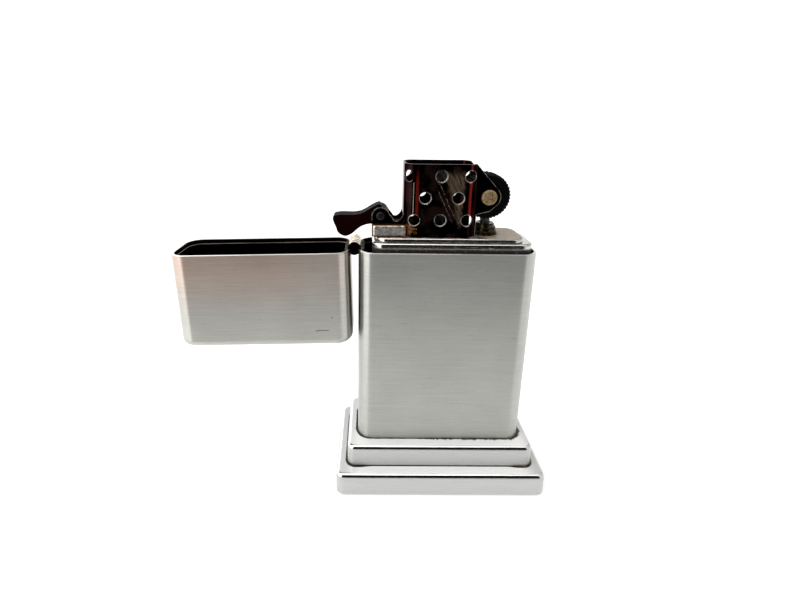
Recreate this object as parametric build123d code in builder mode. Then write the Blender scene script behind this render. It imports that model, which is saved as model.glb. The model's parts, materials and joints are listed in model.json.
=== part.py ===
from build123d import *
import os
from math import cos, radians, sin, sqrt

# A table lighter: a flip-top case standing on a stepped base, with a lift-out insert that carries the
# chimney, the wick, the flint wheel and the cam. It is drawn with the lid open.
# Millimetres, +X to the flint wheel's side, +Z up. The origin is the centre of the face that it rests on.

os.makedirs("parts", exist_ok=True)

# ---------------------------------------------------------------- driving dimensions
closed_height = 82.55

# base: two stamped tiers, over a weight and a felt pad
tier_corner = 2.0
tier_edge = 1.1
base_wall = 0.7
base_lift = 0.4
lower_width = 50.8
lower_depth = 26.0
lower_top = 5.8
upper_width = 45.6
upper_depth = 19.7
upper_top = 11.2
felt_thickness = 1.4

# case and lid: drawn shells of one section
case_width = 40.7
case_depth = 13.5
case_corner = 3.8
case_wall = 0.65
case_foot = 9.6
rim_height = 59.8
rim_gap = 0.12
rim_edge = 0.15
lid_edge = 1.7
lid_open_angle = 181.5

# hinge: its axis stands outside the case's left wall, at the rim
hinge_out = 0.9
knuckle_radius = 1.55
knuckle_count = 5
knuckle_pitch = 1.36
knuckle_gap = 0.06
pin_radius = 0.5
running_gap = 0.05
leaf_thickness = 0.6
leaf_height = 9.0
leaf_half_length = 3.3

# insert: a tank with a raised top plate
insert_x = 1.0
insert_width = 36.4
insert_depth = 11.8
insert_corner = 3.0
insert_wall = 0.4
insert_bottom = 10.6
insert_top = 61.8
plate_x = 0.4
plate_width = 33.6
plate_depth = 10.7
plate_corner = 2.8
plate_edge = 0.6
plate_step = 0.25
plate_top = 62.9

# chimney: one bent sheet, closed at the left, open at the right where its ears hold the wheel
sheet = 0.4
chimney_top = 79.3
chimney_half_depth = 4.6
chimney_left = -10.3
chimney_corner = 2.6
chimney_bend_x = 4.15
ear_start_x = 5.5
ear_half_depth = 3.4
ear_tip_x = 12.0
air_hole_radius = 1.25
air_hole_edge = 0.2

# wheel and flint, one above the other
wheel_x = 8.6
wheel_z = 71.95
wheel_radius = 5.2
wheel_half_width = 2.3
wheel_teeth = 40
wheel_tooth_depth = 0.32
wheel_boss_radius = 2.3
wheel_pin_radius = 0.75
wheel_head_radius = 1.75
ear_round = 2.6
flint_x = 8.9
flint_radius = 1.1
flint_bottom = 60.2
tube_radius = 1.9
tube_bore = 1.3
tube_bottom = 12.6
tube_top = 65.6

# cam: a lever on a rivet between the bracket's ears
cam_x = -15.4
cam_z = 67.4
cam_hub_radius = 1.95
cam_lobe = 2.8
cam_half_width = 1.8
cam_hub_half_width = 2.4
cam_pin_radius = 0.6
cam_head_radius = 0.95
bracket_half_depth = 3.0
bracket_ear_radius = 1.95
rail_half_depth = 4.25
rail_top = 65.6
rail_right = -9.4

# wick, in the chimney's middle
wick_x = -2.0
wick_radius = 1.5
wick_top = 78.6

# ---------------------------------------------------------------- derived places
hinge_x = -case_width / 2 - hinge_out
case_rim = rim_height - rim_gap / 2
lid_height = closed_height - rim_height
upright = Plane.XZ


def slab(bottom, top, width, depth, corner, x=0.0, mode=Mode.ADD):
    """A block of rounded-rectangle plan between two heights."""
    with BuildSketch(Plane.XY.offset(bottom)) as plan:
        with Locations((x, 0)):
            RectangleRounded(width, depth, corner)
    extrude(plan.sketch, amount=top - bottom, mode=mode)


def round_bar(x, radius, bottom, top, mode=Mode.ADD):
    """An upright round bar or bore."""
    with BuildSketch(Plane.XY.offset(bottom)) as disc:
        with Locations((x, 0)):
            Circle(radius)
    extrude(disc.sketch, amount=top - bottom, mode=mode)


def cross_bar(x, z, radius, half_length, mode=Mode.ADD):
    """A round bar or bore along Y, centred on the lighter's mid-plane."""
    with BuildSketch(upright) as disc:
        with Locations((x, z)):
            Circle(radius)
    extrude(disc.sketch, amount=half_length, both=True, mode=mode)


def save(builder, name):
    """Labels a finished piece and writes it as one STEP file."""
    builder.part.label = name
    export_step(builder.part, f"parts/{name}.step")


# ---------------------------------------------------------------- base
weight_play = 0.15
screw_x = 13.0
screw_radius = 1.25
screw_play = 0.05
screw_head_radius = 2.4
screw_head_z = 1.9
screw_slot = 0.6
case_play = 0.05

with BuildPart() as base_shell:
    slab(base_lift, lower_top, lower_width, lower_depth, tier_corner)
    fillet(base_shell.edges().group_by(Axis.Z)[-1], tier_edge)
    slab(lower_top, upper_top, upper_width, upper_depth, tier_corner)
    fillet(base_shell.edges().group_by(Axis.Z)[-1], tier_edge)
    slab(
        base_lift,
        lower_top - base_wall,
        lower_width - 2 * base_wall,
        lower_depth - 2 * base_wall,
        tier_corner - base_wall,
        mode=Mode.SUBTRACT,
    )
    slab(
        lower_top - base_wall,
        upper_top - base_wall,
        upper_width - 2 * base_wall,
        upper_depth - 2 * base_wall,
        tier_corner - base_wall,
        mode=Mode.SUBTRACT,
    )
    slab(
        upper_top - base_wall,
        upper_top,
        case_width + 2 * case_play,
        case_depth + 2 * case_play,
        case_corner + case_play,
        mode=Mode.SUBTRACT,
    )
save(base_shell, "base_shell")

with BuildPart() as base_weight:
    slab(
        felt_thickness,
        lower_top - base_wall,
        lower_width - 2 * (base_wall + weight_play),
        lower_depth - 2 * (base_wall + weight_play),
        tier_corner - base_wall,
    )
    slab(
        lower_top - base_wall,
        case_foot,
        upper_width - 2 * (base_wall + weight_play),
        upper_depth - 2 * (base_wall + weight_play),
        tier_corner - base_wall,
    )
    for side in (-1, 1):
        round_bar(side * screw_x, screw_radius + screw_play, felt_thickness, case_foot, Mode.SUBTRACT)
        with BuildSketch(Plane.XY.offset(felt_thickness)):
            with Locations((side * screw_x, 0)):
                Circle(screw_head_radius + screw_play + screw_head_z - felt_thickness)
        extrude(
            amount=screw_head_radius - screw_radius + screw_head_z - felt_thickness,
            taper=45,
            mode=Mode.SUBTRACT,
        )
save(base_weight, "base_weight")

with BuildPart() as base_felt:
    slab(
        0,
        felt_thickness,
        lower_width - 2 * (base_wall + weight_play),
        lower_depth - 2 * (base_wall + weight_play),
        tier_corner - base_wall,
    )
save(base_felt, "base_felt")

with BuildPart() as base_screws:
    with BuildSketch(upright):
        with BuildLine():
            Polyline(
                (screw_x, screw_head_z),
                (screw_x + screw_head_radius, screw_head_z),
                (screw_x + screw_radius, screw_head_z + screw_head_radius - screw_radius),
                (screw_x + screw_radius, case_foot + case_wall),
                (screw_x, case_foot + case_wall),
                close=True,
            )
        make_face()
    revolve(axis=Axis((screw_x, 0, 0), (0, 0, 1)))
    with BuildSketch(Plane.XY.offset(screw_head_z)):
        with Locations((screw_x, 0)):
            Rectangle(screw_slot, 2 * screw_head_radius)
    extrude(amount=screw_slot, mode=Mode.SUBTRACT)
    mirror(about=Plane.YZ)
save(base_screws, "base_screws")

# ---------------------------------------------------------------- case
notch_half_length = knuckle_count * knuckle_pitch / 2 + 0.15
notch_depth = knuckle_radius + 0.2

with BuildPart() as case_shell:
    slab(case_foot, case_rim, case_width, case_depth, case_corner)
    slab(
        case_foot + case_wall,
        case_rim,
        case_width - 2 * case_wall,
        case_depth - 2 * case_wall,
        case_corner - case_wall,
        mode=Mode.SUBTRACT,
    )
    fillet(case_shell.edges().group_by(Axis.Z)[-1], rim_edge)
    with BuildSketch(Plane.XY.offset(rim_height - notch_depth)):
        with Locations((-case_width / 2, 0)):
            Rectangle(2 * case_wall + 0.2, 2 * notch_half_length)
    extrude(amount=notch_depth, mode=Mode.SUBTRACT)
    for side in (-1, 1):
        round_bar(side * screw_x, screw_radius + 0.01, case_foot, case_foot + case_wall, Mode.SUBTRACT)
save(case_shell, "case_shell")

# ---------------------------------------------------------------- hinge
lid_frame = Plane(origin=(hinge_x, 0, rim_height)).rotated((0, -lid_open_angle, 0))
# in both leaf planes, local X runs from the axis into the shell, and local Y from the rim along its wall
case_leaf_plane = Plane(origin=(hinge_x, 0, rim_height), x_dir=(1, 0, 0), z_dir=(0, 1, 0))
lid_leaf_plane = Plane(origin=lid_frame.origin, x_dir=lid_frame.x_dir, z_dir=(0, -1, 0))
leaf_inset = knuckle_radius + running_gap
knuckle_places = [(i - (knuckle_count - 1) / 2) * knuckle_pitch for i in range(knuckle_count)]


def leaf(plane, places):
    """A hinge leaf: a plate along the shell's inner wall, with the knuckles that curl off it."""
    with BuildSketch(plane) as plate:
        with Locations((leaf_inset + leaf_thickness / 2, (rim_gap + leaf_height) / 2)):
            Rectangle(leaf_thickness, leaf_height - rim_gap)
    extrude(plate.sketch, amount=leaf_half_length, both=True)
    for place in places:
        with BuildSketch(plane.offset(place)) as knuckle:
            Circle(knuckle_radius)
            with Locations((leaf_inset, knuckle_radius / 2)):
                Rectangle(2 * pin_radius, knuckle_radius - rim_gap)
            Circle(pin_radius + running_gap, mode=Mode.SUBTRACT)
        extrude(knuckle.sketch, amount=(knuckle_pitch - knuckle_gap) / 2, both=True)


with BuildPart() as case_hinge_leaf:
    leaf(case_leaf_plane, knuckle_places[0::2])
save(case_hinge_leaf, "case_hinge_leaf")

with BuildPart() as lid_hinge_leaf:
    leaf(lid_leaf_plane, knuckle_places[1::2])
save(lid_hinge_leaf, "lid_hinge_leaf")

with BuildPart() as hinge_pin:
    cross_bar(hinge_x, rim_height, pin_radius, knuckle_count * knuckle_pitch / 2)
save(hinge_pin, "hinge_pin")

# ---------------------------------------------------------------- lid, in its open place
lid_middle = hinge_out + case_width / 2

with BuildPart() as lid_shell:
    with BuildSketch(lid_frame.offset(rim_gap / 2)):
        with Locations((lid_middle, 0)):
            RectangleRounded(case_width, case_depth, case_corner)
    extrude(amount=lid_height - rim_gap / 2)
    lid_axis = Axis(lid_frame.origin, lid_frame.z_dir)
    fillet(lid_shell.edges().group_by(lid_axis)[-1], lid_edge)
    offset(amount=-case_wall, openings=lid_shell.faces().sort_by(lid_axis)[0])
    fillet(lid_shell.edges().group_by(lid_axis)[0], rim_edge)
    with BuildSketch(lid_frame):
        with Locations((hinge_out, 0)):
            Rectangle(2 * case_wall + 0.2, 2 * notch_half_length)
    extrude(amount=notch_depth, mode=Mode.SUBTRACT)
save(lid_shell, "lid_shell")

# ---------------------------------------------------------------- insert's tank
with BuildPart() as insert_shell:
    slab(insert_bottom, insert_top, insert_width, insert_depth, insert_corner, insert_x)
    fillet(insert_shell.edges().group_by(Axis.Z)[-1], plate_edge)
    slab(
        insert_bottom,
        insert_top - insert_wall,
        insert_width - 2 * insert_wall,
        insert_depth - 2 * insert_wall,
        insert_corner - insert_wall,
        insert_x,
        Mode.SUBTRACT,
    )
    round_bar(wick_x, wick_radius + 0.1, insert_top - insert_wall, insert_top, Mode.SUBTRACT)
    round_bar(flint_x, tube_radius + 0.03, insert_top - insert_wall, insert_top, Mode.SUBTRACT)
save(insert_shell, "insert_shell")

with BuildPart() as insert_top_plate:
    slab(
        insert_top,
        insert_top + plate_step,
        plate_width - 2 * plate_step,
        plate_depth - 2 * plate_step,
        plate_corner - plate_step,
        plate_x,
    )
    slab(insert_top + plate_step, plate_top, plate_width, plate_depth, plate_corner, plate_x)
    fillet(insert_top_plate.edges().group_by(Axis.Z)[-1], plate_edge)
    round_bar(wick_x, wick_radius + 0.1, insert_top, plate_top, Mode.SUBTRACT)
    round_bar(flint_x, tube_radius + 0.03, insert_top, plate_top, Mode.SUBTRACT)
save(insert_top_plate, "insert_top_plate")

felt_bottom = insert_bottom + 0.2
wadding_bottom = felt_bottom + 3.0
wadding_top = insert_top - insert_wall - 2.0
packing_width = insert_width - 2 * insert_wall - 0.4
packing_depth = insert_depth - 2 * insert_wall - 0.4
packing_corner = insert_corner - insert_wall
flint_screw_head = 2.4

with BuildPart() as insert_felt:
    slab(felt_bottom, wadding_bottom, packing_width, packing_depth, packing_corner, insert_x)
    round_bar(flint_x, flint_screw_head + 0.4, felt_bottom, wadding_bottom, Mode.SUBTRACT)
save(insert_felt, "insert_felt")

wick_bottom = wadding_bottom + 6.0

with BuildPart() as wadding:
    slab(wadding_bottom, wadding_top, packing_width, packing_depth, packing_corner, insert_x)
    round_bar(flint_x, tube_radius + 0.05, wadding_bottom, wadding_top, Mode.SUBTRACT)
    round_bar(wick_x, wick_radius + 0.05, wick_bottom, wadding_top, Mode.SUBTRACT)
save(wadding, "wadding")

with BuildPart() as wick:
    round_bar(wick_x, wick_radius, wick_bottom, wick_top)
save(wick, "wick")

# ---------------------------------------------------------------- chimney, with its wheel ears and cam bracket
corner_x = chimney_left + chimney_corner
corner_y = chimney_half_depth - chimney_corner
bend_round = 0.6
hole_upper = 76.7
hole_middle = 71.9
hole_lower = 66.9
flat_holes = (
    (-2.3, hole_upper),
    (4.1, hole_upper),
    (-5.7, hole_middle),
    (1.6, hole_middle),
    (-2.2, hole_lower),
    (3.7, hole_lower),
)
# the two holes on the rounded left corner, each with the way that it faces, in degrees from -X
corner_holes = ((48.0, hole_upper), (83.0, hole_lower))

with BuildPart() as chimney:
    with BuildSketch(Plane.XY.offset(plate_top)) as plan:
        with BuildLine():
            for side in (-1, 1):
                Polyline(
                    (ear_tip_x, side * ear_half_depth),
                    (ear_start_x, side * ear_half_depth),
                    (chimney_bend_x, side * chimney_half_depth),
                    (chimney_left, side * chimney_half_depth),
                )
            Line((chimney_left, -chimney_half_depth), (chimney_left, chimney_half_depth))
            Line((ear_tip_x, -ear_half_depth), (ear_tip_x, ear_half_depth))
        make_face()
        fillet(plan.vertices().group_by(Axis.X)[0], chimney_corner)
        bends = plan.vertices().filter_by_position(Axis.X, chimney_bend_x - 0.1, ear_start_x + 0.1)
        fillet(bends, bend_round)
        offset(amount=-sheet, mode=Mode.SUBTRACT)
        with Locations((ear_tip_x, 0)):
            Rectangle(2 * sheet + 0.1, 2 * (ear_half_depth - sheet), mode=Mode.SUBTRACT)
    extrude(amount=chimney_top - plate_top)

    # the side view: a sloping edge from the top corner down round the wheel's rivet
    slope_start = (ear_start_x, chimney_top)
    ear_low = (wheel_x + 0.4, wheel_z - 3.2)
    with BuildSketch(upright):
        with BuildLine():
            ear_arc = CenterArc((wheel_x, wheel_z), ear_round, -35, 75)
            Line(slope_start, ear_arc @ 1)
            Polyline(
                ear_arc @ 0,
                ear_low,
                (ear_start_x + 0.5, ear_low[1] - 0.7),
                (ear_start_x + 0.5, plate_top),
                (chimney_left - 1, plate_top),
                (chimney_left - 1, chimney_top),
                slope_start,
            )
        make_face()
    extrude(amount=2 * chimney_half_depth, both=True, mode=Mode.INTERSECT)

    # the cam bracket: two ears on two hollow rails with a rounded shoulder, the ears dipping before the chimney
    ear_dip_points = [(-12.5, 66.7), (-11.9, 66.2), (-11.1, 66.5), (-10.4, 67.5)]
    rail_left = cam_x - bracket_ear_radius
    rail_middle = (rail_left + rail_right) / 2
    rail_length = rail_right - rail_left
    bracket_inner = bracket_half_depth - sheet
    with BuildPart(mode=Mode.PRIVATE) as rails:
        slab(plate_top, rail_top, rail_length, 2 * rail_half_depth, 0.9, rail_middle)
        fillet(rails.edges().group_by(Axis.Z)[-1], 0.8)
        slab(
            plate_top,
            rail_top - sheet,
            rail_length - 2 * sheet,
            2 * (rail_half_depth - sheet),
            0.5,
            rail_middle,
            Mode.SUBTRACT,
        )
        with BuildSketch(Plane.XY.offset(plate_top)):
            with Locations((rail_middle, 0)):
                Rectangle(rail_length + 1, 2 * bracket_inner)
            with Locations((corner_x, 0)):
                RectangleRounded(
                    2 * chimney_corner - 0.2,
                    2 * chimney_half_depth - 0.2,
                    chimney_corner - 0.2,
                )
        extrude(amount=rail_top - plate_top, mode=Mode.SUBTRACT)
    add(rails.part)

    with BuildSketch(upright.offset(-bracket_half_depth)) as ear:
        with BuildLine():
            ear_top = CenterArc((cam_x, cam_z), bracket_ear_radius, 20, 160)
            ear_dip = Spline(*ear_dip_points, (chimney_left + 0.5, cam_z + 2.4))
            Line(ear_top @ 0, ear_dip @ 0)
            Polyline(
                ear_dip @ 1,
                (chimney_left + 0.5, rail_top - 1.4),
                (rail_left, rail_top - 1.4),
                ear_top @ 1,
            )
        make_face()
    extrude(amount=sheet)
    mirror(chimney.part, about=Plane.XZ)

    # air holes through both faces, each with a bevelled rim
    with BuildSketch(upright):
        with Locations(*flat_holes):
            Circle(air_hole_radius)
    extrude(amount=2 * chimney_half_depth, both=True, mode=Mode.SUBTRACT)
    with BuildPart(mode=Mode.PRIVATE) as rims:
        with BuildSketch(upright.offset(chimney_half_depth)):
            with Locations(*flat_holes):
                Circle(air_hole_radius + air_hole_edge)
        extrude(amount=-air_hole_edge, taper=45)
        mirror(about=Plane.XZ)
    add(rims.part, mode=Mode.SUBTRACT)
    for turn, height in corner_holes:
        for side in (-1, 1):
            facing = (-cos(radians(turn)), side * sin(radians(turn)), 0)
            with BuildSketch(Plane(origin=(corner_x, side * corner_y, height), z_dir=facing)):
                Circle(air_hole_radius)
            extrude(amount=2 * chimney_corner, mode=Mode.SUBTRACT)

    cross_bar(wheel_x, wheel_z, wheel_pin_radius + 0.02, chimney_half_depth, Mode.SUBTRACT)
    cross_bar(cam_x, cam_z, cam_pin_radius + 0.02, chimney_half_depth, Mode.SUBTRACT)
save(chimney, "chimney")


# ---------------------------------------------------------------- rivets
def rivet(builder, x, z, pin, head_radius, inner, outer):
    """A rivet along Y through two ears: its pin, and a rounded head outside each ear."""
    cross_bar(x, z, head_radius, outer)
    cross_bar(x, z, head_radius + 1, inner, Mode.SUBTRACT)
    cross_bar(x, z, pin, outer)
    ends = builder.edges().group_by(Axis.Y)
    fillet(ends[0] + ends[-1], 0.85 * (outer - inner))


wheel_head_top = ear_half_depth + 0.6
cam_head_top = bracket_half_depth + 0.4

with BuildPart() as wheel_rivet:
    rivet(wheel_rivet, wheel_x, wheel_z, wheel_pin_radius, wheel_head_radius, ear_half_depth, wheel_head_top)
save(wheel_rivet, "wheel_rivet")

with BuildPart() as cam_rivet:
    rivet(cam_rivet, cam_x, cam_z, cam_pin_radius, cam_head_radius, bracket_half_depth, cam_head_top)
save(cam_rivet, "cam_rivet")

# ---------------------------------------------------------------- flint wheel
with BuildPart() as flint_wheel:
    cross_bar(wheel_x, wheel_z, wheel_radius, wheel_half_width)
    chamfer(flint_wheel.edges().filter_by(GeomType.CIRCLE), wheel_tooth_depth + 0.1)
    with BuildSketch(upright):
        with Locations((wheel_x, wheel_z)):
            with PolarLocations(wheel_radius, wheel_teeth):
                Rectangle(sqrt(2) * wheel_tooth_depth, sqrt(2) * wheel_tooth_depth, rotation=45)
    extrude(amount=wheel_half_width, both=True, mode=Mode.SUBTRACT)
    cross_bar(wheel_x, wheel_z, wheel_boss_radius, ear_half_depth - sheet - 0.1)
    cross_bar(wheel_x, wheel_z, wheel_pin_radius + running_gap, chimney_half_depth, Mode.SUBTRACT)
save(flint_wheel, "flint_wheel")

# ---------------------------------------------------------------- cam: a waisted lever with a drooping head
# the lever's outline, from the hub's top round the head to the hub's foot, relative to the rivet
lever_top = [(-0.1, 2.5), (-1.2, 2.1), (-2.5, 1.35), (-4.0, 0.45), (-5.8, 0.0), (-8.3, 0.0), (-10.0, -0.15)]
lever_tip = [(-10.75, -0.55), (-10.75, -1.4), (-10.0, -3.4)]
lever_foot = [(-9.3, -4.55), (-8.0, -5.05), (-6.4, -4.4), (-4.9, -3.1)]
lever_neck = [(-3.6, -2.4), (-1.9, -2.1), (0, -cam_lobe)]
# the hub's flats, from its foot up the side towards the chimney
hub_flats = [(1.5, -1.9), (1.9, 0.1)]


def about_cam(points):
    """Points given relative to the cam's rivet, moved to their place."""
    return [(cam_x + x, cam_z + z) for x, z in points]


with BuildPart() as cam:
    with BuildSketch(upright):
        with BuildLine():
            upper = Spline(*about_cam(lever_top))
            tip = Spline(upper @ 1, *about_cam(lever_tip))
            lower = Spline(tip @ 1, *about_cam(lever_foot + lever_neck))
            Polyline(lower @ 1, *about_cam(hub_flats), upper @ 0)
        make_face()
    extrude(amount=cam_half_width, both=True)
    cross_bar(cam_x, cam_z, cam_hub_radius, cam_hub_half_width)
    cross_bar(cam_x, cam_z, cam_pin_radius + running_gap, chimney_half_depth, Mode.SUBTRACT)
save(cam, "cam")

# ---------------------------------------------------------------- cam's leaf spring, riveted under the cam
spring_sheet = 0.25
spring_half_width = 1.9
spring_root_x = chimney_left - 0.6
spring_bend_x = cam_x + 3.0
spring_tip_x = cam_x - 0.8
spring_tip_z = cam_z - cam_lobe - 0.12
spring_rivet_x = spring_root_x - 0.9

with BuildPart() as cam_spring:
    with BuildSketch(upright):
        with BuildLine():
            Polyline(
                (spring_root_x, plate_top),
                (spring_bend_x, plate_top),
                (spring_tip_x, spring_tip_z - spring_sheet),
                (spring_tip_x, spring_tip_z),
                (spring_bend_x, plate_top + spring_sheet),
                (spring_root_x, plate_top + spring_sheet),
                close=True,
            )
        make_face()
    extrude(amount=spring_half_width, both=True)
    round_bar(spring_rivet_x, 0.42, plate_top, plate_top + spring_sheet, Mode.SUBTRACT)
save(cam_spring, "cam_spring")

with BuildPart() as cam_spring_rivet:
    round_bar(spring_rivet_x, 0.4, plate_top, plate_top + spring_sheet)
    round_bar(spring_rivet_x, 0.7, plate_top + spring_sheet, plate_top + spring_sheet + 0.25)
    fillet(cam_spring_rivet.edges().group_by(Axis.Z)[-1], 0.15)
save(cam_spring_rivet, "cam_spring_rivet")

# ---------------------------------------------------------------- flint, its tube, spring and screw
collar_rings = ((2.85, 0.95), (2.55, 0.75), (2.2, 0.5))
collar_neck = 0.15

with BuildPart() as flint_tube:
    round_bar(flint_x, tube_radius, tube_bottom, tube_top)
    round_bar(flint_x, tube_bore, tube_bottom, tube_top, Mode.SUBTRACT)
save(flint_tube, "flint_tube")

with BuildPart() as flint_tube_collar:
    ring_bottom = plate_top
    for ring_radius, ring_height in collar_rings:
        round_bar(flint_x, ring_radius, ring_bottom, ring_bottom + ring_height)
        fillet(flint_tube_collar.edges().group_by(Axis.Z)[-1], 0.15)
        ring_bottom += ring_height
        round_bar(flint_x, ring_radius - 0.5, ring_bottom, ring_bottom + collar_neck)
        ring_bottom += collar_neck
    round_bar(flint_x, tube_radius + 0.01, plate_top, ring_bottom, Mode.SUBTRACT)
save(flint_tube_collar, "flint_tube_collar")

flint_top = wheel_z - wheel_radius - 0.05

with BuildPart() as flint:
    round_bar(flint_x, flint_radius, flint_bottom, flint_top)
save(flint, "flint")

screw_shank_top = tube_bottom + 5.0
coil_wire = 0.2
coil_radius = 0.9
coil_pitch = 2.1
coil_bottom = screw_shank_top + coil_wire + 0.05
coil_length = flint_bottom - coil_wire - 0.05 - coil_bottom

with BuildPart() as flint_screw:
    round_bar(flint_x, flint_screw_head, tube_bottom - 1.6, tube_bottom - 0.1)
    with BuildSketch(Plane.XY.offset(tube_bottom - 1.6)):
        with Locations((flint_x, 0)):
            Rectangle(0.7, 2 * flint_screw_head)
    extrude(amount=0.7, mode=Mode.SUBTRACT)
    round_bar(flint_x, tube_bore - running_gap, tube_bottom - 0.1, screw_shank_top)
save(flint_screw, "flint_screw")

with BuildPart() as flint_spring:
    with BuildLine():
        coil = Helix(coil_pitch, coil_length, coil_radius, center=(flint_x, 0, coil_bottom))
    with BuildSketch(Plane(origin=coil @ 0, z_dir=coil % 0)):
        Circle(coil_wire)
    sweep(is_frenet=True)
save(flint_spring, "flint_spring")
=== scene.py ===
import json
import math

import bpy
from mathutils import Matrix, Vector, noise


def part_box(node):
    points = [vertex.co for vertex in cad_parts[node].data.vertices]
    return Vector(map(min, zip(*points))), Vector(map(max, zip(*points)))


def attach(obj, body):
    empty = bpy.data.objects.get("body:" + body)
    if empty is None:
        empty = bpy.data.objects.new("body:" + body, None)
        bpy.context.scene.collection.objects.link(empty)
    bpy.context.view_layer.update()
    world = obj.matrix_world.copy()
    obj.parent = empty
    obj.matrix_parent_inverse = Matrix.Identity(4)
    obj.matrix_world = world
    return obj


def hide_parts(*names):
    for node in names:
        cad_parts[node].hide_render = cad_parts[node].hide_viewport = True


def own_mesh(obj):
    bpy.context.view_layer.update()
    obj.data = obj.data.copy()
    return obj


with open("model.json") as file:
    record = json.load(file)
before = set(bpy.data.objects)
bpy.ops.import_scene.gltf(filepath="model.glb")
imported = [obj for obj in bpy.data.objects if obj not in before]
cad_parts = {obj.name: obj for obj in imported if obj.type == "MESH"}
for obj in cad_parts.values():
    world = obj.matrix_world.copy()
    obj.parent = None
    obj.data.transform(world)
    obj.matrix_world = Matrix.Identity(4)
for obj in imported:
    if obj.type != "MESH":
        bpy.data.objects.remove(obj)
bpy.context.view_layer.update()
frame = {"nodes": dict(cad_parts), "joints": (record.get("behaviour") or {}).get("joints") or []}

MM = 0.001


# ---------------------------------------------------------------- places, from the frame, in mm
def box_mm(node):
    lo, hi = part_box(node)
    return Vector(lo) / MM, Vector(hi) / MM


def joint(name):
    return next(j for j in frame["joints"] if j["name"] == name)


case_lo, case_hi = box_mm("case_shell")
lid_lo, _ = box_mm("lid_shell")
_, base_hi = box_mm("base_shell")
_, plate_hi = box_mm("insert_top_plate")
collar_lo, collar_hi = box_mm("flint_tube_collar")
hinge = Vector(joint("lid_hinge")["pos_m"]) / MM
lid_open = math.radians(-joint("lid_hinge")["range_deg"][0])

# sizes of the CAD model that no box gives
CASE_CORNER = 3.8
TIER_CORNER = 2.0
TIER_STEP = 5.4
UPPER_HALF = (22.8, 9.85)
PLATE_TOP = plate_hi.z
CHIMNEY_LEFT = -10.3
CHIMNEY_CORNER = 2.6
CHIMNEY_FACE = 4.6
HOLE_RADIUS = 1.25
HOLE_ROWS = (76.7, 71.9, 66.9)
KNUCKLE_PITCH = 1.36
FLAT_HOLES = ((-2.3, 0), (4.1, 0), (-5.7, 1), (1.6, 1), (-2.2, 2), (3.7, 2))
CORNER_HOLES = ((83.0, 2),)


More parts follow.
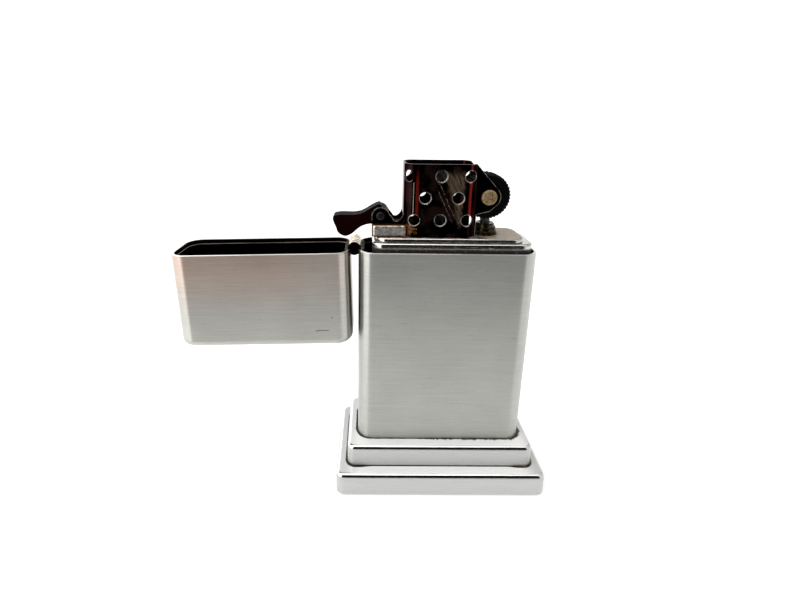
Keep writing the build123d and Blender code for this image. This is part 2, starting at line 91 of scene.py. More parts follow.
# ---------------------------------------------------------------- shader helper
class Shader:
    """A node tree with short calls for the kinds of node that the materials here need. Lengths are in mm."""

    def __init__(self, tree):
        self.tree = tree
        tree.nodes.clear()
        coords = self.node("TexCoord")
        self.place = self.vector("SCALE", coords.outputs["Object"], scale=1 / MM)
        self.direction = coords.outputs["Generated"]
        self.normal = coords.outputs["Normal"]

    def node(self, kind):
        return self.tree.nodes.new("ShaderNode" + kind)

    def link(self, source, target):
        self.tree.links.new(source, target)

    def feed(self, socket, value):
        if isinstance(value, bpy.types.NodeSocket):
            self.link(value, socket)
        elif isinstance(value, tuple) and len(value) == 3 and socket.type == "RGBA":
            socket.default_value = (*value, 1.0)
        else:
            socket.default_value = value

    def math(self, kind, a, b=0.0, c=0.0):
        node = self.node("Math")
        node.operation = kind
        for socket, value in zip(node.inputs, (a, b, c)):
            self.feed(socket, value)
        return node.outputs[0]

    def vector(self, kind, a, b=(0, 0, 0), scale=1.0):
        node = self.node("VectorMath")
        node.operation = kind
        self.feed(node.inputs[0], a)
        if kind == "SCALE":
            self.feed(node.inputs["Scale"], scale)
            return node.outputs[0]
        self.feed(node.inputs[1], b)
        return node.outputs["Value"] if kind in ("LENGTH", "DISTANCE", "DOT_PRODUCT") else node.outputs[0]

    def split(self, vector):
        node = self.node("SeparateXYZ")
        self.link(vector, node.inputs[0])
        return node.outputs[0], node.outputs[1], node.outputs[2]

    def join(self, x, y, z):
        node = self.node("CombineXYZ")
        for socket, value in zip(node.inputs, (x, y, z)):
            self.feed(socket, value)
        return node.outputs[0]

    def stretch(self, vector, x, y, z):
        return self.vector("MULTIPLY", vector, (x, y, z))

    def noise(self, vector, scale=1.0, detail=3.0, roughness=0.5, distortion=0.0):
        node = self.node("TexNoise")
        self.link(vector, node.inputs["Vector"])
        node.inputs["Scale"].default_value = scale
        node.inputs["Detail"].default_value = detail
        node.inputs["Roughness"].default_value = roughness
        node.inputs["Distortion"].default_value = distortion
        return node.outputs["Fac"]

    def cells(self, vector, scale):
        node = self.node("TexVoronoi")
        self.link(vector, node.inputs["Vector"])
        node.inputs["Scale"].default_value = scale
        return node.outputs["Distance"]

    def ramp(self, value, low, high, to_low=0.0, to_high=1.0):
        """A smooth step from to_low, at low, to to_high, at high."""
        node = self.node("MapRange")
        node.interpolation_type = "SMOOTHSTEP"
        if low > high:
            low, high, to_low, to_high = high, low, to_high, to_low
        self.feed(node.inputs["Value"], value)
        for name, number in (("From Min", low), ("From Max", high), ("To Min", to_low), ("To Max", to_high)):
            node.inputs[name].default_value = number
        return node.outputs[0]

    def near(self, value, centre, half, soft):
        """1 within half of centre, falling to 0 over soft."""
        gap = self.math("ABSOLUTE", self.math("SUBTRACT", value, centre))
        return self.ramp(gap, half, half + soft, 1.0, 0.0)

    def total(self, kind, *values):
        result = values[0]
        for value in values[1:]:
            result = self.math(kind, result, value)
        return result

    def product(self, *values):
        return self.total("MULTIPLY", *values)

    def most(self, *values):
        return self.total("MAXIMUM", *values)

    def plus(self, *values):
        return self.total("ADD", *values)

    def minus(self, a, b):
        return self.math("SUBTRACT", a, b)

    def colour(self, value):
        node = self.node("RGB")
        node.outputs[0].default_value = (*value, 1.0)
        return node.outputs[0]

    def mix(self, share, a, b):
        """Colours or numbers: a where share is 0, and b where it is 1."""
        node = self.node("Mix")
        colours = any(isinstance(v, tuple) or getattr(v, "type", "") in ("RGBA", "VECTOR") for v in (a, b))
        node.data_type = "RGBA" if colours else "FLOAT"
        first, second, result = (6, 7, 2) if colours else (2, 3, 0)
        self.feed(node.inputs[0], share)
        self.feed(node.inputs[first], a)
        self.feed(node.inputs[second], b)
        return node.outputs[result]

    def tint(self, value, tone):
        """A colour made lighter or darker by tone."""
        return self.vector("SCALE", self.colour(value) if isinstance(value, tuple) else value, scale=tone)

    def bump(self, height, distance, strength=1.0):
        """distance is the height of a full step, in mm."""
        node = self.node("Bump")
        node.inputs["Strength"].default_value = strength
        node.inputs["Distance"].default_value = distance * MM
        self.link(height, node.inputs["Height"])
        return node.outputs["Normal"]

    def edges(self, radius):
        """1 along sharp edges, within about radius in mm."""
        bevel = self.node("Bevel")
        bevel.samples = 4
        bevel.inputs["Radius"].default_value = radius * MM
        true = self.node("NewGeometry").outputs["Normal"]
        return self.ramp(self.vector("DOT_PRODUCT", bevel.outputs[0], true), 0.99, 0.90)

    def outside(self, place, half_x, half_y, corner, centre_x=0.0):
        """Distance outside a rounded rectangle in plan, negative inside it."""
        x, y, _ = self.split(place)
        dx = self.minus(self.math("ABSOLUTE", self.minus(x, centre_x)), half_x - corner)
        dy = self.minus(self.math("ABSOLUTE", y), half_y - corner)
        beyond = self.vector("LENGTH", self.join(self.most(dx, 0.0), self.most(dy, 0.0), 0.0))
        return self.minus(self.plus(beyond, self.math("MINIMUM", self.most(dx, dy), 0.0)), corner)


class Finish(Shader):
    """A material with one principled shader."""

    def __init__(self, name, **values):
        self.material = bpy.data.materials.new(name)
        self.material.use_nodes = True
        super().__init__(self.material.node_tree)
        self.bsdf = self.node("BsdfPrincipled")
        self.link(self.bsdf.outputs[0], self.node("OutputMaterial").inputs["Surface"])
        self.set(**values)

    def set(self, **values):
        """Sets the shader's sockets; an underscore in a name stands for a space."""
        for name, value in values.items():
            self.feed(self.bsdf.inputs[name.replace("_", " ")], value)

    def paint(self, *names):
        for name in names:
            materials = frame["nodes"][name].data.materials
            materials.clear()
            materials.append(self.material)


# ---------------------------------------------------------------- satin chrome of the case and the lid
SATIN = (0.49, 0.492, 0.462)
# The lid's chrome is painted a little lighter than the case's: a lit copy of the same metal.
LID_SATIN_LIT = (0.54, 0.537, 0.495)
# Colour of a pinkish painted reflection on the lid, near its rim.
LID_WARM_REFLECTION = (0.60, 0.475, 0.405)
# Colour of the inside walls, painted near black: painted shade.
INSIDE_SHADE = (0.03, 0.022, 0.022)
case_half = ((case_hi.x - case_lo.x) / 2, (case_hi.y - case_lo.y) / 2)


def satin(name, where, cool, warm_reflection):
    """Horizontally brushed chrome outside, with a brighter edge painted along the rim (a painted highlight),
    and smooth inside walls painted near black (painted shade), with a bright line painted 1.15 mm below the
    rim.
    where(shader) gives the place in the shell's own frame, the depth into the shell, the distance from the
    rim, the share of a pinkish painted reflection and the share of dark marks. cool is the chrome's colour,
    and the last argument the painted reflection's colour."""
    s = Finish(name, Anisotropic=0.93, Anisotropic_Rotation=0.25)
    place, depth, from_rim, reflection_share, marks = where(s)
    fine = s.noise(s.stretch(place, 0.20, 0.20, 8.0), 1.0, 4.0, 0.7)
    long = s.noise(s.stretch(place, 0.06, 0.06, 3.5), 1.0, 3.0, 0.6)
    dash = s.noise(s.stretch(place, 0.7, 0.7, 9.0), 1.0, 2.0, 0.5)
    cloud = s.noise(place, 0.09, 2.0, 0.5)
    grain = s.plus(s.product(fine, 0.6), s.product(long, 0.4))
    inside = s.ramp(depth, 0.45, 0.60)
    x, y, z = s.split(s.place)
    to_hinge = s.vector("DISTANCE", s.join(x, 0.0, z), (hinge.x, 0.0, hinge.z))
    # Round the hinge, inside the walls, the metal is painted near black and less metallic: painted shade, with
    # green corrosion in patches.
    notch = s.product(s.ramp(to_hinge, 2.8, 2.4), s.near(y, 0.0, 3.8, 0.1), s.ramp(depth, 0.02, 0.06))
    corrosion_and_shade = s.mix(s.ramp(cloud, 0.4, 0.6), (0.015, 0.012, 0.009), (0.09, 0.085, 0.03))
    # Along the rim's edge a brighter colour is painted: a painted highlight.
    rim = s.product(s.ramp(from_rim, 0.16, 0.08), s.ramp(depth, -0.1, 0.1))
    tone = s.product(
        s.ramp(grain, 0.3, 0.7, 0.88, 1.08),
        s.ramp(dash, 0.60, 0.72, 1.0, 0.88),
        s.ramp(cloud, 0.3, 0.7, 0.96, 1.03),
        s.mix(marks, 1.0, 0.35),
    )
    colour = s.mix(rim, s.tint(s.mix(reflection_share, cool, warm_reflection), tone), (0.8, 0.78, 0.74))
    tangent = s.node("Tangent")
    tangent.direction_type = "RADIAL"
    tangent.axis = "Z"
    line = s.product(s.near(from_rim, 1.15, 0.07, 0.1), s.ramp(cloud, 0.2, 0.6, 0.5, 1.0))
    # Inside the walls the colour is painted near black (painted shade), with a bright painted line.
    s.set(
        Base_Color=s.mix(notch, s.mix(inside, colour, s.mix(line, INSIDE_SHADE, (0.6, 0.5, 0.45))), corrosion_and_shade),
        Metallic=s.minus(1.0, s.product(s.most(notch, s.product(inside, line)), 0.7)),
        Roughness=s.mix(inside, s.ramp(grain, 0.3, 0.7, 0.31, 0.37), 0.14),
        Normal=s.bump(s.mix(inside, grain, 0.5), 0.010, 0.5),
        Tangent=tangent.outputs[0],
    )
    return s


def case_place(s):
    """The case's own frame is the shared one, with a few short scratches."""
    _, _, z = s.split(s.place)
    depth = s.product(s.outside(s.place, *case_half, CASE_CORNER), -1.0)
    scratch = s.near(s.noise(s.stretch(s.place, 0.15, 0.15, 2.5), 1.0, 2.0, 0.4), 0.335, 0.002, 0.006)
    return s.place, depth, s.minus(case_hi.z, z), 0.0, s.product(scratch, 0.5)


def lid_place(s):
    """The lid's own frame: X from the hinge along its rim, and Z from the rim to its top."""
    node = s.node("Mapping")
    node.vector_type = "TEXTURE"
    node.inputs["Location"].default_value = hinge
    node.inputs["Rotation"].default_value = (0, -lid_open, 0)
    s.link(s.place, node.inputs["Vector"])
    place = node.outputs[0]
    x, y, z = s.split(place)
    lid_height = hinge.z - lid_lo.z
    plan = s.product(s.outside(place, *case_half, CASE_CORNER, -hinge.x), -1.0)
    depth = s.math("MINIMUM", plan, s.minus(lid_height - 0.3, z))
    # A pinkish painted reflection, strongest near the rim and away from the hinge.
    warm_reflection = s.product(s.ramp(z, 17.0, 1.0), s.ramp(x, 4.0, 20.0, 0.45, 1.0))
    front = s.ramp(y, -6.3, -6.6)
    wobble = s.product(s.noise(place, 0.8, 2.0), 0.5)
    scrape = s.product(s.near(x, 7.8, 1.3, 0.5), s.near(s.plus(z, wobble), 19.0, 0.06, 0.14), front)
    patch = s.product(s.near(x, 5.0, 3.0, 1.0), s.near(z, 18.0, 2.5, 1.0))
    pits = s.product(s.ramp(s.cells(place, 0.55), 0.13, 0.08), patch, front)
    return place, depth, z, warm_reflection, s.most(scrape, pits)


satin("case satin chrome", case_place, SATIN, SATIN).paint("case_shell")
satin("lid satin chrome", lid_place, LID_SATIN_LIT, LID_WARM_REFLECTION).paint("lid_shell")


# ---------------------------------------------------------------- bright chrome and steel
def polished(name, colour, rough, stains_and_shade, satin_sides=0.0):
    """Polished plate, slightly wavy, hazed and wiped. stains(shader) gives the share of staining and painted
    shade, and its colour.
    satin_sides is the roughness of upright walls that are brushed lengthways, or 0. With it, faces that
    look up are painted near-white and less metallic, a painted sheen, most in the middle."""
    s = Finish(name)
    haze = s.noise(s.place, 0.35, 4.0, 0.6)
    wipe = s.noise(s.stretch(s.place, 0.5, 0.5, 3.0), 1.0, 4.0, 0.7)
    swell = s.noise(s.place, 0.12, 2.0, 0.5)
    dirt_and_shade, dirt_and_shade_colour = stains_and_shade(s)
    sheen = s.ramp(wipe, 0.35, 0.75, rough, rough * 2.2)
    clean = s.tint(colour, s.ramp(haze, 0.3, 0.75, 0.93, 1.03))
    dull = 0.0
    if satin_sides:
        _, _, up = s.split(s.normal)
        side = s.ramp(s.math("ABSOLUTE", up), 0.46, 0.34)
        brush = s.noise(s.stretch(s.place, 0.2, 0.2, 8.0), 1.0, 4.0, 0.7)
        clean = s.mix(side, clean, s.tint(colour, s.ramp(brush, 0.3, 0.7, 0.71, 0.84)))
        sheen = s.mix(side, sheen, s.ramp(brush, 0.3, 0.7, satin_sides, satin_sides * 1.2))
        across, _, _ = s.split(s.place)
        middle = s.near(across, 0.0, case_half[0] - 1.0, 4.5)
        # Faces that look up are painted near-white and less metallic: a painted sheen, most in the middle.
        dull = s.product(s.ramp(up, 0.93, 0.97), s.plus(0.4, s.product(middle, 0.55)))
        clean = s.mix(dull, clean, (1.0, 1.0, 0.98))
    s.set(
        Base_Color=s.mix(dirt_and_shade, clean, dirt_and_shade_colour),
        Metallic=s.product(s.ramp(dirt_and_shade, 0.0, 1.0, 1.0, 0.25), s.minus(1.0, dull)),
        Roughness=s.mix(dirt_and_shade, sheen, 0.6),
        Normal=s.bump(s.plus(s.product(wipe, 0.04), swell), 0.2, 0.5),
    )
    return s


def base_dirt_and_shade(s):
    """Brown soiling with painted shade in the crevice round the case's foot, and a painted shadow line at the
    foot of the upper tier.
    """
    x, _, z = s.split(s.place)
    sides = s.ramp(s.math("ABSOLUTE", x), case_half[0] - 4.0, case_half[0] - 0.5)
    grit = s.noise(s.place, 0.8, 5.0, 0.7)
    specks = s.product(s.ramp(grit, 0.40, 0.68), s.ramp(x, -6.0, 2.0, 0.15, 1.0))
    reach = s.plus(0.10, s.product(sides, 0.35), s.product(specks, 0.6))
    to_case = s.outside(s.place, *case_half, CASE_CORNER)
    on_top = s.ramp(z, base_hi.z - 1.2, base_hi.z - 0.6)
    # Round the case's foot: a near-black line of painted shade, with brown specks of soiling.
    case_foot_dirt_and_shade = s.product(s.ramp(s.minus(to_case, reach), 0.2, 0.0), on_top)
    # A painted shadow line at the foot of the upper tier.
    to_tier = s.math("ABSOLUTE", s.outside(s.place, *UPPER_HALF, TIER_CORNER))
    step = base_hi.z - TIER_STEP
    from_line = s.minus(to_tier, s.product(sides, 0.35))
    tier_foot_shadow = s.product(s.ramp(from_line, 0.25, 0.10), s.near(z, step, 0.14, 0.12))
    # Near black for the painted shade, and brown where the specks lie away from the case.
    brown = s.mix(s.product(specks, s.ramp(to_case, 0.1, 0.3)), (0.010, 0.009, 0.007), (0.20, 0.12, 0.04))
    return s.most(case_foot_dirt_and_shade, tier_foot_shadow), brown


def plate_stains(s):
    """Soot and brown film on the plate, thickest round the chimney's foot and the flint tube's collar."""
    x, y, z = s.split(s.place)
    cloud = s.noise(s.place, 0.9, 5.0, 0.7)
    on_top = s.ramp(z, PLATE_TOP - 0.25, PLATE_TOP - 0.1)
    collar = s.vector("LENGTH", s.join(s.minus(x, (collar_lo.x + collar_hi.x) / 2), y, 0.0))
    halo = s.ramp(s.plus(collar, s.product(cloud, 3.0)), 6.5, 4.0)
    right = s.ramp(x, 7.0, 9.0, 0.0, 0.5)
    film = s.most(s.product(halo, 0.9), s.plus(right, s.ramp(cloud, 0.45, 0.65, 0.15, 0.6)))
    lip = s.product(s.near(z, PLATE_TOP - 1.1, 0.12, 0.1), 0.9)
    brown = s.mix(s.ramp(cloud, 0.35, 0.65), (0.05, 0.03, 0.018), (0.50, 0.38, 0.24))
    return s.most(s.product(film, on_top), lip), brown


def wall_stains_and_shade(s):
    """Faint staining on the tank's walls, and a dark strip of painted shade where they drop into the case."""
    _, _, z = s.split(s.place)
    cloud = s.noise(s.place, 1.5, 4.0, 0.7)
    height = s.plus(z, s.product(cloud, 0.5))
    below_plate = s.ramp(height, PLATE_TOP - 1.7, PLATE_TOP - 2.3)
    above_tank = s.ramp(height, PLATE_TOP - 5.5, PLATE_TOP - 3.5)
    # Painted shade: a dark strip on the walls below the plate, where they drop into the case.
    shade_band = s.product(below_plate, above_tank, s.ramp(cloud, 0.62, 0.68, 1.0, 0.2))
    return s.most(s.ramp(cloud, 0.62, 0.75, 0.0, 0.5), shade_band), s.colour((0.02, 0.016, 0.014))


polished("base polished chrome", (0.70, 0.705, 0.69), 0.07, base_dirt_and_shade, 0.42).paint("base_shell")
polished("plate bright steel", (0.62, 0.60, 0.57), 0.12, plate_stains).paint("insert_top_plate")


def tank_material():
    """Bright near the plate, and satin on the walls that stand hidden in the case."""
    s = polished("insert bright steel", (0.60, 0.59, 0.57), 0.12, wall_stains_and_shade)
    _, _, z = s.split(s.place)
    sheen = s.bsdf.inputs["Roughness"].links[0].from_socket
    s.set(Roughness=s.mix(s.ramp(z, PLATE_TOP - 4.5, PLATE_TOP - 6.0), sheen, 0.42))
    return s


tank_material().paint("insert_shell")


# ---------------------------------------------------------------- the chimney
def hole_gap(s):
    """Distance in mm from the nearest rim of an air hole, whose rim is painted bright: part wear, part painted
    highlight.
    """
    x, y, z = s.split(s.place)
    folded = s.join(x, s.math("ABSOLUTE", y), z)
    corner_x = CHIMNEY_LEFT + CHIMNEY_CORNER
    corner_y = CHIMNEY_FACE - CHIMNEY_CORNER
    centres = [(hole_x, CHIMNEY_FACE, HOLE_ROWS[row]) for hole_x, row in FLAT_HOLES]
    for turn, row in CORNER_HOLES:
        angle = math.radians(turn)
        ahead = (corner_x - CHIMNEY_CORNER * math.cos(angle), corner_y + CHIMNEY_CORNER * math.sin(angle))
        centres.append((*ahead, HOLE_ROWS[row]))
    gaps = [s.vector("DISTANCE", folded, centre) for centre in centres]
    return s.minus(s.total("MINIMUM", *gaps), HOLE_RADIUS)


def chimney_material():
    """Steel blackened by heat, with a brown smear, red stripes along its two bends, bright worn edges,
    air-hole rims painted bright as part wear and part painted highlight, a painted highlight along the ears'
    edges and a thin painted highlight on the left bend.
    """
    s = Finish("chimney stained steel")
    x, y, z = s.split(s.place)
    film = s.noise(s.stretch(s.place, 0.9, 0.9, 0.3), 1.0, 5.0, 0.65, 0.5)
    soot = s.noise(s.place, 1.6, 5.0, 0.7)
    broad = s.noise(s.place, 0.32, 3.0, 0.55)
    lean = s.plus(x, s.product(z, 0.476), s.product(film, 0.8))
    face = s.ramp(s.math("ABSOLUTE", y), 4.2, 4.4)

    scuff = s.noise(s.join(s.product(lean, 2.5), 0.0, s.product(z, 0.25)), 1.0, 4.0, 0.7)
    left_side = s.ramp(s.plus(x, s.product(z, 0.30), s.product(soot, -1.6)), 19.9, 21.5)
    right_side = s.ramp(s.plus(x, s.product(z, -0.06), s.product(soot, 1.8)), 0.0, -1.5)
    patchy = s.ramp(scuff, 0.3, 0.65, 0.25, 1.0)
    smear = s.product(left_side, right_side, s.near(z, 71.2, 5.2, 2.5), patchy, face)
    lines = s.most(
        s.product(s.near(lean, 33.45, 0.06, 0.14), s.near(z, 71.5, 3.5, 1.5)),
        s.product(s.near(lean, 32.45, 0.04, 0.12), s.near(z, 70.0, 3.0, 1.0)),
    )
    lines = s.product(lines, s.ramp(soot, 0.35, 0.6, 0.0, 0.6), face)
    bloom = s.product(s.ramp(broad, 0.38, 0.60), s.near(x, -2.5, 3.5, 2.5), face, 0.4)
    left_red = s.product(s.near(x, -7.5, 0.22, 0.28), s.ramp(z, 79.0, 75.0, 0.2, 0.6))
    right_red = s.product(s.near(x, 4.12, 0.16, 0.22), s.ramp(z, 79.3, 74.0, 0.5, 1.3))
    red = s.product(s.most(left_red, right_red), s.ramp(soot, 0.3, 0.5, 0.7, 1.0), s.ramp(z, 66.0, 67.5))
    rust = s.product(s.near(x, -8.2, 0.7, 0.5), s.near(z, 64.9, 0.8, 0.8), s.ramp(soot, 0.35, 0.70))
    # A thin light line painted on the left bend's front: a painted highlight.
    bend_highlight = s.product(s.near(x, -8.3, 0.04, 0.06), s.near(z, 71.8, 3.2, 0.6), s.ramp(y, -2.0, -2.5))
    uneven = s.ramp(s.noise(s.place, 0.9, 3.0, 0.6), 0.35, 0.6, 0.1, 0.75)
    # The air holes' rims are painted bright: part wear, part painted highlight.
    rim = s.product(s.ramp(hole_gap(s), 0.17, 0.06), uneven)
    worn = s.product(s.edges(0.14), s.ramp(soot, 0.35, 0.55, 0.1, 0.6), s.ramp(z, 79.0, 78.7))
    # A bright line painted along the ears' edges: a painted highlight.
    ears = s.most(s.ramp(x, 4.8, 5.6), s.product(s.ramp(x, -11.0, -11.6), s.ramp(z, 65.9, 66.1)))
    ear_edge_highlight = s.product(s.edges(0.3), ears, s.ramp(broad, 0.35, 0.55, 0.3, 0.8))

    rail = s.product(s.ramp(x, -9.2, -9.7), s.ramp(z, 65.95, 65.4))
    rail_ends = s.most(s.ramp(x, -10.9, -9.6), s.ramp(x, -16.6, -17.3))
    rail_edge = s.most(s.ramp(z, 64.9, 65.6), s.ramp(z, 63.6, 63.0), rail_ends)
    mottle = s.ramp(s.noise(s.place, 1.3, 5.0, 0.7), 0.38, 0.62)
    bright = s.mix(mottle, (0.48, 0.45, 0.39), (0.92, 0.90, 0.85))
    rail_colour = s.mix(s.ramp(s.plus(rail_edge, s.product(soot, 1.3)), 1.0, 1.6), bright, (0.20, 0.10, 0.03))

    body = s.mix(s.ramp(broad, 0.4, 0.65), (0.008, 0.004, 0.004), (0.015, 0.007, 0.007))
    body = s.mix(bloom, body, (0.022, 0.008, 0.008))
    body = s.mix(smear, body, s.mix(scuff, (0.045, 0.026, 0.016), (0.16, 0.115, 0.07)))
    body = s.mix(lines, body, (0.22, 0.18, 0.14))
    body = s.mix(red, body, (0.20, 0.008, 0.002))
    body = s.mix(rust, body, (0.24, 0.10, 0.03))
    body = s.mix(bend_highlight, body, (0.38, 0.32, 0.22))
    body = s.mix(s.most(rim, worn, ear_edge_highlight), body, (0.60, 0.58, 0.55))
    drawn = s.most(smear, bloom, lines, red, rust, bend_highlight, rim, ear_edge_highlight)
    s.set(
        Base_Color=s.mix(rail, body, rail_colour),
        Metallic=s.mix(rail, s.ramp(drawn, 0.1, 0.7, 1.0, 0.15), 0.85),
        Roughness=s.mix(rail, s.mix(drawn, 0.12, 0.45), 0.30),
        Specular_IOR_Level=s.mix(drawn, 0.5, 0.15),
        Specular_Tint=(0.45, 0.35, 0.35),
        Normal=s.bump(soot, 0.03, 0.4),
    )
    return s


chimney_material().paint("chimney")


# ---------------------------------------------------------------- small metal parts
WHITE = (1.0, 1.0, 1.0)
BLACKENED = (0.10, 0.08, 0.08)
WORN_STEEL = (0.55, 0.52, 0.48)


def metal(
    name, light, dark, rough, diffuse=0.0, wear=0.0, wear_colour=WORN_STEEL, scale=1.0, edge_tint=WHITE
):
    """Mottled metal, from light to dark, with worn edges. diffuse is the share of a dull oxide, and edge_tint
    the colour of its grazing reflections."""
    s = Finish(name)
    mottle = s.noise(s.place, 1.1 * scale, 5.0, 0.68)
    fine = s.noise(s.place, 5.0 * scale, 3.0, 0.6)
    colour = s.mix(s.ramp(mottle, 0.35, 0.65), dark, light)
    if wear:
        share = s.product(s.edges(0.12), s.ramp(fine, 0.3, 0.6, 0.2, wear))
        colour = s.mix(share, colour, wear_colour)
    s.set(
        Base_Color=colour,
        Metallic=1.0 - diffuse,
        Specular_Tint=edge_tint,
        Roughness=s.ramp(mottle, 0.3, 0.7, rough * 1.25, rough * 0.8),
        Normal=s.bump(fine, 0.03, 0.45),
    )
    return s


def hinge_material():
    """Worn gold-coloured knuckles, and leaves inside the walls painted near black as painted shade, with
    patches of green corrosion.
    """
    s = metal("hinge worn plate", (0.80, 0.72, 0.56), (0.34, 0.22, 0.09), 0.16, 0.0, 0.9, (0.95, 0.90, 0.80))
    x, y, z = s.split(s.place)
    along = s.math("ABSOLUTE", s.minus(s.math("FRACT", s.product(y, 1 / KNUCKLE_PITCH)), 0.5))
    joints = s.ramp(along, 0.20, 0.08)
    clean = s.mix(joints, s.bsdf.inputs["Base Color"].links[0].from_socket, (0.03, 0.02, 0.012))
    # The leaves inside the walls are painted near black and not metallic: painted shade, with green corrosion
    # in patches.
    leaf = s.ramp(s.vector("DISTANCE", s.join(x, 0.0, z), (hinge.x, 0.0, hinge.z)), 1.56, 1.60)
    green = s.ramp(s.noise(s.place, 1.4, 4.0, 0.7), 0.45, 0.6)
    s.set(
        Base_Color=s.mix(leaf, clean, s.mix(green, (0.014, 0.012, 0.010), (0.10, 0.10, 0.04))),
        Metallic=s.mix(leaf, 1.0, 0.0),
        Roughness=s.mix(leaf, 0.16, 0.6),
        Specular_IOR_Level=s.mix(leaf, 0.5, 0.1),
    )
    return s


hinge_material().paint("case_hinge_leaf", "lid_hinge_leaf", "hinge_pin")
metal("pitted brass", (0.46, 0.34, 0.17), (0.16, 0.09, 0.035), 0.4, 0.5, 0.3, (0.6, 0.5, 0.3), 2.4).paint(
    "wheel_rivet"
)
metal("dull brass", (0.08, 0.055, 0.03), (0.012, 0.008, 0.005), 0.25, 0.0, 0.9, (0.50, 0.43, 0.30)).paint(
    "flint_tube_collar", "flint_tube", "flint_screw"
)
metal(
    "black wheel steel", (0.010, 0.010, 0.010), (0.005, 0.005, 0.005), 0.45, 0.1, 0.05, edge_tint=BLACKENED
).paint("flint_wheel")
metal(
    "maroon cam steel", (0.022, 0.003, 0.003), (0.010, 0.002, 0.002), 0.38, 0.2, 0.1, edge_tint=BLACKENED
).paint("cam")
metal("dark rivet steel", (0.05, 0.045, 0.045), (0.012, 0.010, 0.010), 0.25, 0.35, 0.9).paint("cam_rivet")
spring_steel = metal("spring steel", (0.20, 0.19, 0.18), (0.06, 0.05, 0.045), 0.3, 0.0, 0.5)
spring_steel.paint("cam_spring", "cam_spring_rivet")
metal("zinc screw", (0.55, 0.55, 0.52), (0.25, 0.24, 0.22), 0.3, 0.0, 0.4).paint("base_screws")
metal("weight steel", (0.22, 0.21, 0.20), (0.08, 0.07, 0.06), 0.5, 0.2).paint("base_weight")
metal("flint alloy", (0.16, 0.155, 0.15), (0.08, 0.075, 0.07), 0.65, 0.3, 0.3).paint("flint")


# ---------------------------------------------------------------- soft pieces, built over their CAD solids
def fibres(name, light, dark, scale):
    s = Finish(name, Roughness=0.95, Sheen_Weight=0.3, Sheen_Roughness=0.4)
    fuzz = s.noise(s.place, 4.0 * scale, 6.0, 0.75)
    clump = s.noise(s.place, 0.9 * scale, 4.0, 0.65)
    strand = s.noise(s.stretch(s.place, 6.0, 1.2, 1.2), scale, 3.0, 0.6, 1.5)
    s.set(
        Base_Color=s.tint(s.mix(clump, dark, light), s.ramp(strand, 0.3, 0.7, 0.75, 1.2)),
        Normal=s.bump(s.plus(fuzz, strand), 0.15, 0.8),
    )
    return s


def soft_copy(node, body, voxel, depth, grain, finish):
    """A soft piece with its CAD solid's shape, remeshed and roughened inwards by up to depth, in mm."""
    source = frame["nodes"][node]
    piece = bpy.data.objects.new(node + "_soft", source.data.copy())
    bpy.context.scene.collection.objects.link(piece)
    piece.data.materials.clear()
    remesh = piece.modifiers.new("remesh", "REMESH")
    remesh.mode = "VOXEL"
    remesh.voxel_size = voxel * MM
    remesh.use_smooth_shade = True
    smooth = piece.modifiers.new("smooth", "SMOOTH")
    smooth.iterations = 2
    graph = bpy.context.evaluated_depsgraph_get()
    mesh = bpy.data.meshes.new_from_object(piece.evaluated_get(graph))
    piece.modifiers.clear()
    piece.data = mesh
    moves = []
    for vertex in mesh.vertices:
        here = vertex.co / MM
        lump = 0.5 + 0.5 * noise.noise(here / grain)
        tuft = 0.5 + 0.5 * noise.noise(here / (grain * 0.3) + Vector((7.0, 3.0, 1.0)))
        moves.append(vertex.normal * -depth * MM * min(1.0, max(0.0, 0.65 * lump + 0.35 * tuft)))
    for vertex, move in zip(mesh.vertices, moves):
        vertex.co += move
    mesh.materials.append(finish.material)
    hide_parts(node)
    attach(piece, body)
    return piece


def make_wick():
    """A braided cotton wick with a charred, frayed end."""
    lo, hi = box_mm("wick")
    centre_x, radius = (lo.x + hi.x) / 2, (hi.x - lo.x) / 2
    around, step = 48, 0.22
    levels = int((hi.z - lo.z) / step)
    points, faces = [], []
    for level in range(levels + 1):
        z = lo.z + (hi.z - lo.z) * level / levels
        fray = max(0.0, 1.0 - (hi.z - z) / 2.0)
        for turn in range(around):
            angle = 2 * math.pi * turn / around
            braid = max(math.sin(6 * angle + 2.6 * z), math.sin(6 * angle - 2.6 * z))
            ragged = noise.noise(Vector((2.2 * math.cos(angle), 2.2 * math.sin(angle), 0.9 * z)))
            reach = radius * (0.88 + 0.10 * braid - fray * (0.12 + 0.30 * ragged))
            drop = fray * 0.9 * max(0.0, noise.noise(Vector((3 * math.cos(angle), 3 * math.sin(angle), 5.0))))
            reach = min(reach, radius)
            points.append((centre_x + reach * math.cos(angle), reach * math.sin(angle), z - drop))
    for level in range(levels):
        for turn in range(around):
            a, b = level * around + turn, level * around + (turn + 1) % around
            faces.append((a, b, b + around, a + around))
    faces.append(tuple(reversed(range(around))))
    top = len(points)
    first = levels * around
    points.append((centre_x, 0.0, hi.z - 0.9))
    faces += [(first + turn, first + (turn + 1) % around, top) for turn in range(around)]
    mesh = bpy.data.meshes.new("wick_braid")
    mesh.from_pydata([Vector(p) * MM for p in points], [], faces)
    mesh.polygons.foreach_set("use_smooth", [True] * len(mesh.polygons))
    piece = bpy.data.objects.new("wick_braid", mesh)
    bpy.context.scene.collection.objects.link(piece)
    s = fibres("wick cotton", (0.62, 0.57, 0.47), (0.30, 0.25, 0.18), 2.0)
    _, _, z = s.split(s.place)
    char = s.ramp(s.plus(z, s.product(s.noise(s.place, 1.0, 4.0, 0.7), 2.0)), PLATE_TOP, PLATE_TOP + 2.0)
    plain = s.bsdf.inputs["Base Color"].links[0].from_socket
    s.set(Base_Color=s.mix(char, plain, (0.012, 0.010, 0.009)))
    mesh.materials.append(s.material)
    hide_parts("wick")
    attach(piece, "insert")


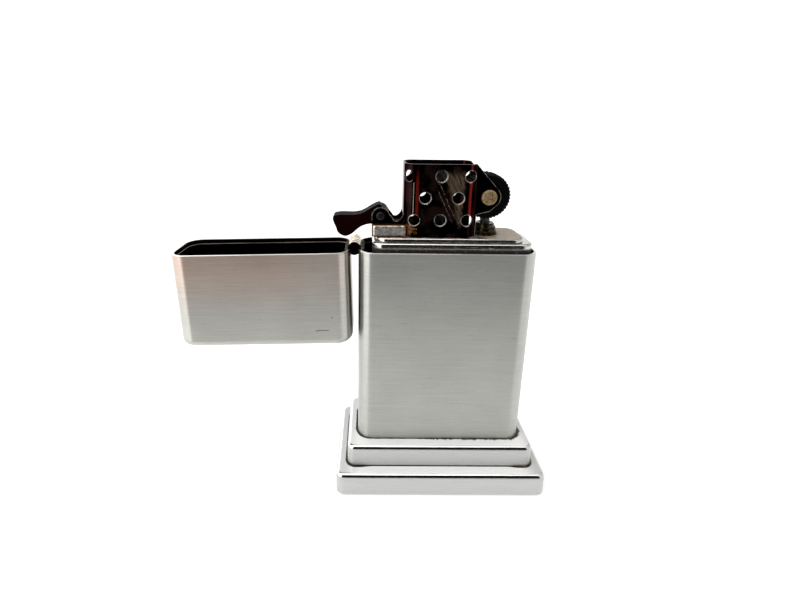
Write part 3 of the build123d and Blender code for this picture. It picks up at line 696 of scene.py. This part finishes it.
def make_flint_spring():
    """The flint's coil spring, copied from its CAD solid and hung on the flint screw's body."""
    source = frame["nodes"]["flint_spring"]
    coil = bpy.data.objects.new("flint_spring_coil", source.data.copy())
    bpy.context.scene.collection.objects.link(coil)
    coil.data.materials.clear()
    coil.data.materials.append(spring_steel.material)
    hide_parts("flint_spring")
    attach(coil, "flint_screw")
    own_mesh(coil)


base_cloth = fibres("base felt", (0.03, 0.045, 0.035), (0.012, 0.018, 0.014), 1.0)
grey_cloth = fibres("insert felt", (0.50, 0.48, 0.42), (0.28, 0.26, 0.22), 1.0)
cotton = fibres("cotton packing", (0.75, 0.72, 0.65), (0.50, 0.47, 0.40), 0.7)
soft_copy("base_felt", "root", 0.35, 0.12, 0.9, base_cloth)
soft_copy("insert_felt", "insert", 0.35, 0.12, 0.9, grey_cloth)
soft_copy("wadding", "insert", 0.7, 0.3, 2.0, cotton)
make_wick()
make_flint_spring()


# ---------------------------------------------------------------- stage
FLOOR_FRONT = -120.0
FLOOR_REACH = 1500.0


def make_floor():
    """A white table top that ends in front of the lighter, so that its upright faces reflect past the edge."""
    mesh = bpy.data.meshes.new("floor")
    near = [(-FLOOR_REACH, FLOOR_FRONT), (FLOOR_REACH, FLOOR_FRONT)]
    corners = near + [(FLOOR_REACH, FLOOR_REACH), (-FLOOR_REACH, FLOOR_REACH)]
    mesh.from_pydata([(x * MM, y * MM, 0.0) for x, y in corners], [], [(0, 1, 2, 3)])
    floor = bpy.data.objects.new("floor", mesh)
    bpy.context.scene.collection.objects.link(floor)
    s = Finish("floor white", Emission_Color=(1.0, 1.0, 1.0), Emission_Strength=0.35, Roughness=0.9)
    s.set(Base_Color=s.tint((0.9, 0.9, 0.9), s.ramp(s.noise(s.place, 0.02, 2.0), 0.3, 0.7, 0.99, 1.0)))
    mesh.materials.append(s.material)


def make_world():
    """A white tent: bright above, behind and most at its left side, and dark through its opening in front."""
    world = bpy.data.worlds.new("tent")
    bpy.context.scene.world = world
    world.use_nodes = True
    s = Shader(world.node_tree)
    x, y, z = s.split(s.direction)
    level = s.vector("LENGTH", s.join(x, y, 0.0))
    ahead = s.math("DIVIDE", s.product(y, -1.0), s.most(level, 0.001))
    opening = s.product(s.ramp(ahead, 0.77, 0.81), s.ramp(z, 0.91, 0.85))
    lamp = s.product(s.ramp(ahead, 0.3, 0.7), s.ramp(z, 0.86, 0.92))
    back = s.product(s.ramp(ahead, -0.2, -0.6), s.ramp(z, 0.42, 0.55))
    tent = s.product(s.mix(back, s.mix(lamp, 2.0, 4.5), 0.9), s.ramp(x, -0.9, 0.9, 1.35, 0.48))
    seen = s.node("LightPath").outputs["Is Camera Ray"]
    background = s.node("Background")
    s.feed(background.inputs["Strength"], s.mix(seen, s.mix(opening, tent, 0.02), 1.6))
    s.link(background.outputs[0], s.node("OutputWorld").inputs["Surface"])


def make_camera():
    """The camera stands close in front, a little left of the case and above it, and looks slightly down."""
    pitch, yaw, roll = math.radians(15.273), math.radians(0.476), math.radians(-0.659)
    data = bpy.data.cameras.new("camera")
    data.sensor_width = 36.0
    data.lens = 19.52
    data.shift_x = 0.0318
    data.shift_y = -0.0894
    data.clip_start = 0.005
    data.clip_end = 20.0
    camera = bpy.data.objects.new("camera", data)
    bpy.context.scene.collection.objects.link(camera)
    turn = Matrix.Rotation(-yaw, 4, "Z") @ Matrix.Rotation(math.pi / 2 - pitch, 4, "X")
    turn @= Matrix.Rotation(-roll, 4, "Z")
    camera.matrix_world = Matrix.Translation((-0.017476, -0.097609, 0.090344)) @ turn
    bpy.context.scene.camera = camera


make_floor()
make_world()
make_camera()
bpy.context.scene.view_settings.view_transform = "Standard"
